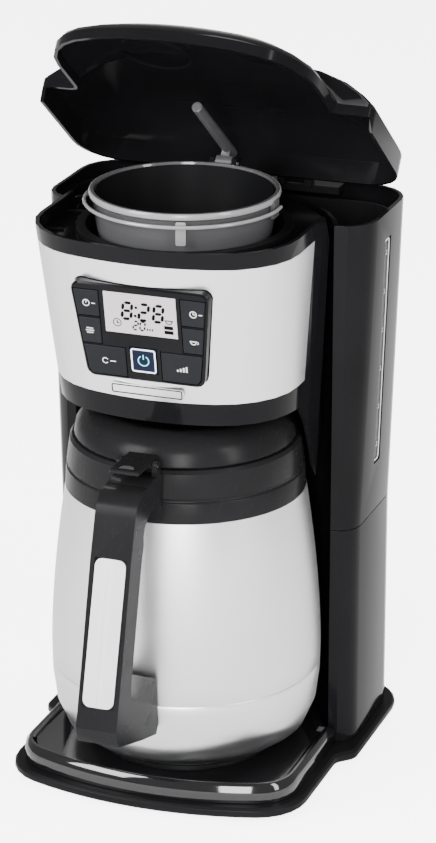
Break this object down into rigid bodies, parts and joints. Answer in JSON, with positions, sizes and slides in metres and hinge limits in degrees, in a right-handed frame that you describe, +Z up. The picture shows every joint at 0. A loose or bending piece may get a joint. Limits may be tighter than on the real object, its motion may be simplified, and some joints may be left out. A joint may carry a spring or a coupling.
{
  "type": "drip coffee maker",
  "caption": "Upright drip coffee maker with a hinged top lid, rear water tank, leaning control panel and a thermal carafe that slides out of the front.",
  "frame": {"origin": "on the floor under the feet, at the centre of the box round the machine as it stands with its lid open", "axes": "+Z up, +Y towards the back, so the control panel and the carafe's handle face -Y, and +X to the right as seen from the front"},
  "size_m": [0.2078, 0.275, 0.4674],
  "materials": {
    "gloss_black": "polished black moulding",
    "satin_black": "fine satin black moulding",
    "key_black": "black keys with a slight blue cast",
    "brushed_steel": "stainless steel, fine brushing round the piece",
    "bright_steel": "bright steel",
    "smoke_plastic": "smoky see-through plastic",
    "clear_plastic": "clear plastic over a dark tank",
    "lcd_glass": "pale grey display behind a clear lens",
    "grey_plastic": "grey plastic",
    "silicone": "soft silicone",
    "foot_rubber": "black rubber",
    "heater_aluminium": "cast aluminium",
    "circuit_green": "printed circuit board"
  },
  "bodies": {
    "machine": {"base_plate": "satin_black", "base_screw_1": "bright_steel", "base_screw_2": "bright_steel", "foot_front_left": "foot_rubber", "foot_front_right": "foot_rubber", "foot_rear_left": "foot_rubber", "foot_rear_right": "foot_rubber", "base_tray": "gloss_black", "carafe_rest_pad": "silicone", "lower_housing": "satin_black", "cord_gland": "foot_rubber", "reservoir_housing": "gloss_black", "water_window": "clear_plastic", "reservoir_tank": "satin_black", "inlet_check_valve": "grey_plastic", "heater_tube": "heater_aluminium", "cold_water_hose": "silicone", "riser_tube": "silicone", "thermostat": "bright_steel", "head_shell": "gloss_black", "stainless_band": "brushed_steel", "deck": "gloss_black", "head_bottom_cover": "satin_black", "control_panel": "gloss_black", "lcd_window": "lcd_glass", "lcd_module": "lcd_glass", "control_board": "circuit_green", "badge_plate": "bright_steel", "brew_funnel": "satin_black", "drip_stop_seat": "satin_black", "drip_stop_spring": "bright_steel", "hinge_bracket": "satin_black", "hinge_pin_left": "bright_steel", "hinge_pin_right": "bright_steel", "spray_arm_fork": "satin_black", "spray_arm_pin": "bright_steel"},
    "lid": {"lid": "gloss_black"},
    "spray_arm": {"spray_arm": "grey_plastic"},
    "filter_basket": {"filter_basket": "smoke_plastic"},
    "basket_handle": {"basket_handle": "smoke_plastic"},
    "drip_stop": {"drip_stop_plunger": "grey_plastic"},
    "key_left_upper": {"key_left_upper": "key_black"},
    "key_left_middle": {"key_left_middle": "key_black"},
    "key_left_lower": {"key_left_lower": "key_black"},
    "key_right_upper": {"key_right_upper": "key_black"},
    "key_right_middle": {"key_right_middle": "key_black"},
    "key_right_lower": {"key_right_lower": "key_black"},
    "key_power": {"key_power": "key_black"},
    "carafe": {"carafe_outer_shell": "brushed_steel", "carafe_inner_flask": "brushed_steel", "carafe_collar": "satin_black", "carafe_lid_gasket": "silicone", "carafe_handle": "satin_black", "handle_inlay": "brushed_steel", "lever_pin": "bright_steel"},
    "carafe_lid": {"carafe_lid": "satin_black"},
    "thumb_lever": {"thumb_lever": "satin_black"}
  },
  "joints": [
    {"name": "lid_hinge", "type": "hinge", "parent": "machine", "child": "lid", "pos_m": [0, 0.1175, 0.3455], "axis": [-1, 0, 0], "range_deg": [-37, 0]},
    {"name": "spray_arm_swing", "type": "hinge", "parent": "machine", "child": "spray_arm", "pos_m": [0, 0.0795, 0.3615], "axis": [-1, 0, 0], "range_deg": [-36, 0]},
    {"name": "basket_lift", "type": "slide", "parent": "machine", "child": "filter_basket", "axis": [0, 0, 1], "range_m": [0, 0.012]},
    {"name": "basket_handle_swing", "type": "hinge", "parent": "filter_basket", "child": "basket_handle", "pos_m": [0, 0.0105, 0.358], "axis": [-1, 0, 0], "range_deg": [0, 80]},
    {"name": "carafe_slide", "type": "slide", "parent": "machine", "child": "carafe", "axis": [0, -1, 0], "range_m": [0, 0.15]},
    {"name": "carafe_lid_twist", "type": "hinge", "parent": "carafe", "child": "carafe_lid", "pos_m": [0, 0.0105, 0.22], "axis": [0, 0, 1], "range_deg": [0, 60]},
    {"name": "thumb_lever_press", "type": "hinge", "parent": "carafe", "child": "thumb_lever", "pos_m": [0, -0.0675, 0.2205], "axis": [1, 0, 0], "range_deg": [0, 8], "stiffness_Nm_per_rad": 0.1, "springref_deg": -5.73},
    {"name": "drip_stop_drop", "type": "slide", "parent": "machine", "child": "drip_stop", "axis": [0, 0, 1], "range_m": [-0.004, 0], "deforming": ["drip_stop_spring"]},
    {"name": "key_left_upper_press", "type": "slide", "parent": "machine", "child": "key_left_upper", "axis": [0, 0.9839, 0.1789], "range_m": [0, 0.0008], "stiffness_N_per_m": 600, "springref_m": -0.0005},
    {"name": "key_left_middle_press", "type": "slide", "parent": "machine", "child": "key_left_middle", "axis": [0, 0.9839, 0.1789], "range_m": [0, 0.0008], "stiffness_N_per_m": 600, "springref_m": -0.0005},
    {"name": "key_left_lower_press", "type": "slide", "parent": "machine", "child": "key_left_lower", "axis": [0, 0.9839, 0.1789], "range_m": [0, 0.0008], "stiffness_N_per_m": 600, "springref_m": -0.0005},
    {"name": "key_right_upper_press", "type": "slide", "parent": "machine", "child": "key_right_upper", "axis": [0, 0.9839, 0.1789], "range_m": [0, 0.0008], "stiffness_N_per_m": 600, "springref_m": -0.0005},
    {"name": "key_right_middle_press", "type": "slide", "parent": "machine", "child": "key_right_middle", "axis": [0, 0.9839, 0.1789], "range_m": [0, 0.0008], "stiffness_N_per_m": 600, "springref_m": -0.0005},
    {"name": "key_right_lower_press", "type": "slide", "parent": "machine", "child": "key_right_lower", "axis": [0, 0.9839, 0.1789], "range_m": [0, 0.0008], "stiffness_N_per_m": 600, "springref_m": -0.0005},
    {"name": "key_power_press", "type": "slide", "parent": "machine", "child": "key_power", "axis": [0, 0.9839, 0.1789], "range_m": [0, 0.0008], "stiffness_N_per_m": 600, "springref_m": -0.0005}
  ],
  "couplings": [
    {"joint": "spray_arm_swing", "follows": "lid_hinge", "ratio": 0.973},
    {"joint": "drip_stop_drop", "follows": "carafe_slide", "ratio": -0.02666}
  ]
}
